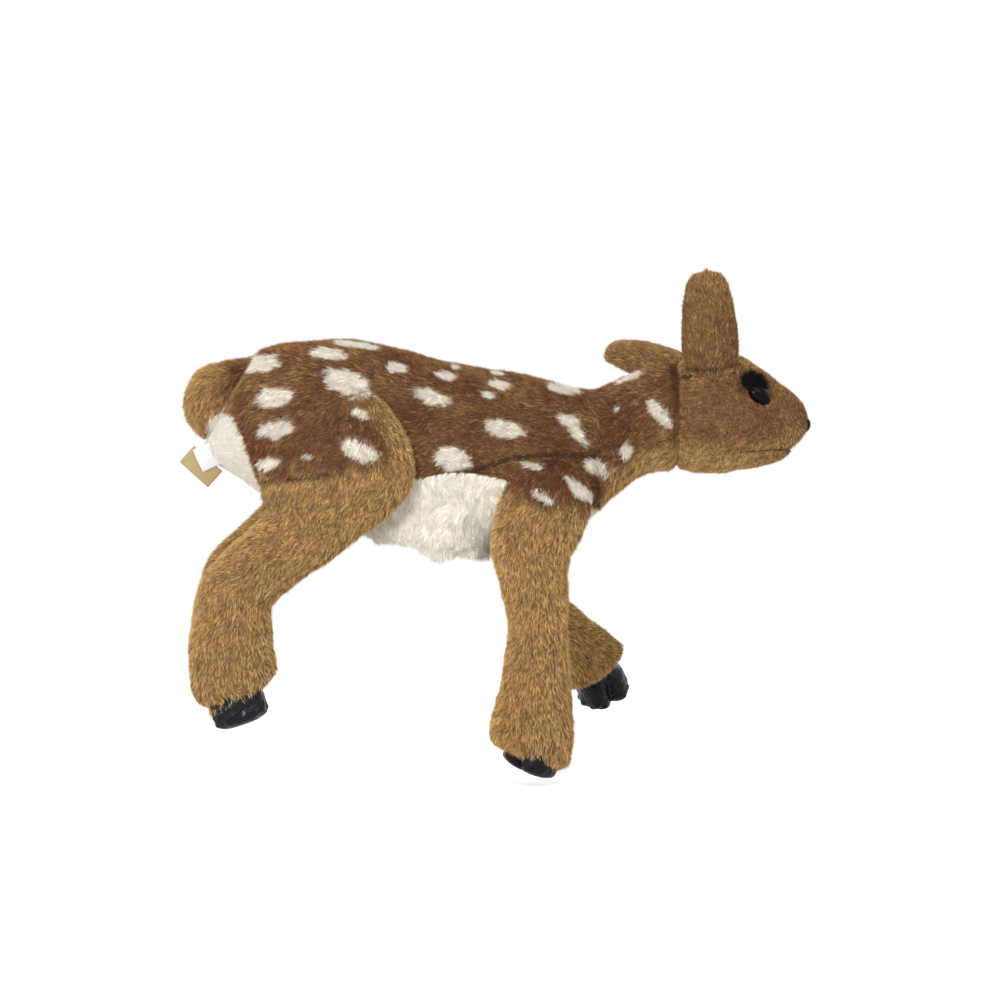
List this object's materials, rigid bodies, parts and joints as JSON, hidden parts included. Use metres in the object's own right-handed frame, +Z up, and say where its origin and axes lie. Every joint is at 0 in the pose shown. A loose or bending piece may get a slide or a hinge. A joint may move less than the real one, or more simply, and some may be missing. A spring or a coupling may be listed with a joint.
{
  "type": "deer hand puppet",
  "caption": "Plush fawn hand puppet with a spotted back, white belly with a hand opening, working mouth, floppy legs with cloven vinyl hooves, upright ears and glossy eyes.",
  "frame": {"origin": "middle of the hand opening in the belly, in the plane of its mouth", "axes": "+X towards the nose, +Y to the left side of the fawn, +Z up towards the back"},
  "size_m": [0.3857, 0.1748, 0.3056],
  "materials": {
    "spotted_plush": "short brown pile with pale spots",
    "tan_plush": "short golden-tan pile",
    "white_plush": "longer off-white pile",
    "fibre_filling": "loose white fibre",
    "lining_cloth": "plain woven lining",
    "dark_felt": "short black-brown felt",
    "hoof_vinyl": "glossy black vinyl with soft wrinkles",
    "eye_plastic": "polished black",
    "washer_plastic": "plain white plastic",
    "gold_tape": "woven satin tape, blank",
    "white_tape": "woven satin tape, blank"
  },
  "bodies": {
    "torso": {"back_panel_right": "spotted_plush", "back_panel_left": "spotted_plush", "belly_panel": "white_plush", "chest_panel": "white_plush", "rump_panel": "white_plush", "rump_filling": "fibre_filling", "hand_lining": "lining_cloth", "opening_cuff": "white_plush", "gold_label": "gold_tape", "care_label": "white_tape"},
    "neck": {"neck_sleeve": "spotted_plush", "neck_lining": "lining_cloth"},
    "head": {"head_half_right": "tan_plush", "head_half_left": "tan_plush", "mouth_roof": "dark_felt", "finger_pocket": "lining_cloth", "head_filling": "fibre_filling", "eye_right": "eye_plastic", "eye_left": "eye_plastic", "eye_washer_right": "washer_plastic", "eye_washer_left": "washer_plastic", "eyelid_right": "dark_felt", "eyelid_left": "dark_felt", "nose": "dark_felt"},
    "jaw": {"jaw_cover": "tan_plush", "mouth_floor": "dark_felt"},
    "ear_right": {"ear_right": "tan_plush", "ear_lining_right": "white_plush"},
    "ear_left": {"ear_left": "tan_plush", "ear_lining_left": "white_plush"},
    "tail": {"tail_top": "tan_plush", "tail_under": "white_plush"},
    "front_leg_right": {"front_leg_right": "tan_plush", "front_leg_right_filling": "fibre_filling", "front_hoof_right": "hoof_vinyl"},
    "front_leg_left": {"front_leg_left": "tan_plush", "front_leg_left_filling": "fibre_filling", "front_hoof_left": "hoof_vinyl"},
    "hind_leg_right": {"hind_leg_right": "tan_plush", "hind_leg_right_filling": "fibre_filling", "hind_hoof_right": "hoof_vinyl"},
    "hind_leg_left": {"hind_leg_left": "tan_plush", "hind_leg_left_filling": "fibre_filling", "hind_hoof_left": "hoof_vinyl"}
  },
  "joints": [
    {"name": "neck_nod", "type": "hinge", "parent": "torso", "child": "neck", "pos_m": [0.1195, 0, 0.072], "axis": [0, -1, 0], "range_deg": [-22, 20], "stiffness_Nm_per_rad": 1.2},
    {"name": "head_turn", "type": "hinge", "parent": "neck", "child": "head", "pos_m": [0.151, 0, 0.08], "axis": [0, 0, 1], "range_deg": [-25, 25], "stiffness_Nm_per_rad": 0.4},
    {"name": "jaw_open", "type": "hinge", "parent": "head", "child": "jaw", "pos_m": [0.168, 0, 0.0566], "axis": [0, 1, 0], "range_deg": [0, 28], "stiffness_Nm_per_rad": 0.03},
    {"name": "ear_right_flop", "type": "hinge", "parent": "head", "child": "ear_right", "pos_m": [0.169, -0.02486, 0.106], "axis": [0.9957, -0.0005, 0.0923], "range_deg": [0, 50], "stiffness_Nm_per_rad": 0.02},
    {"name": "ear_left_flop", "type": "hinge", "parent": "head", "child": "ear_left", "pos_m": [0.155, 0.01348, 0.112], "axis": [-0.6505, -0.5556, -0.5179], "range_deg": [0, 35], "stiffness_Nm_per_rad": 0.02},
    {"name": "front_leg_right_swing", "type": "hinge", "parent": "torso", "child": "front_leg_right", "pos_m": [0.068, -0.0335, 0.026], "axis": [0, -1, 0], "range_deg": [-20, 35], "stiffness_Nm_per_rad": 0.25},
    {"name": "front_leg_left_swing", "type": "hinge", "parent": "torso", "child": "front_leg_left", "pos_m": [0.068, 0.0335, 0.026], "axis": [0, -1, 0], "range_deg": [-20, 35], "stiffness_Nm_per_rad": 0.25},
    {"name": "hind_leg_right_swing", "type": "hinge", "parent": "torso", "child": "hind_leg_right", "pos_m": [-0.057, -0.048, 0.0525], "axis": [0, -1, 0], "range_deg": [-20, 25], "stiffness_Nm_per_rad": 0.4},
    {"name": "hind_leg_left_swing", "type": "hinge", "parent": "torso", "child": "hind_leg_left", "pos_m": [-0.057, 0.048, 0.0525], "axis": [0, -1, 0], "range_deg": [-20, 25], "stiffness_Nm_per_rad": 0.4},
    {"name": "tail_lift", "type": "hinge", "parent": "torso", "child": "tail", "pos_m": [-0.117, 0, 0.112], "axis": [0, 1, 0], "range_deg": [0, 40], "stiffness_Nm_per_rad": 0.06}
  ]
}
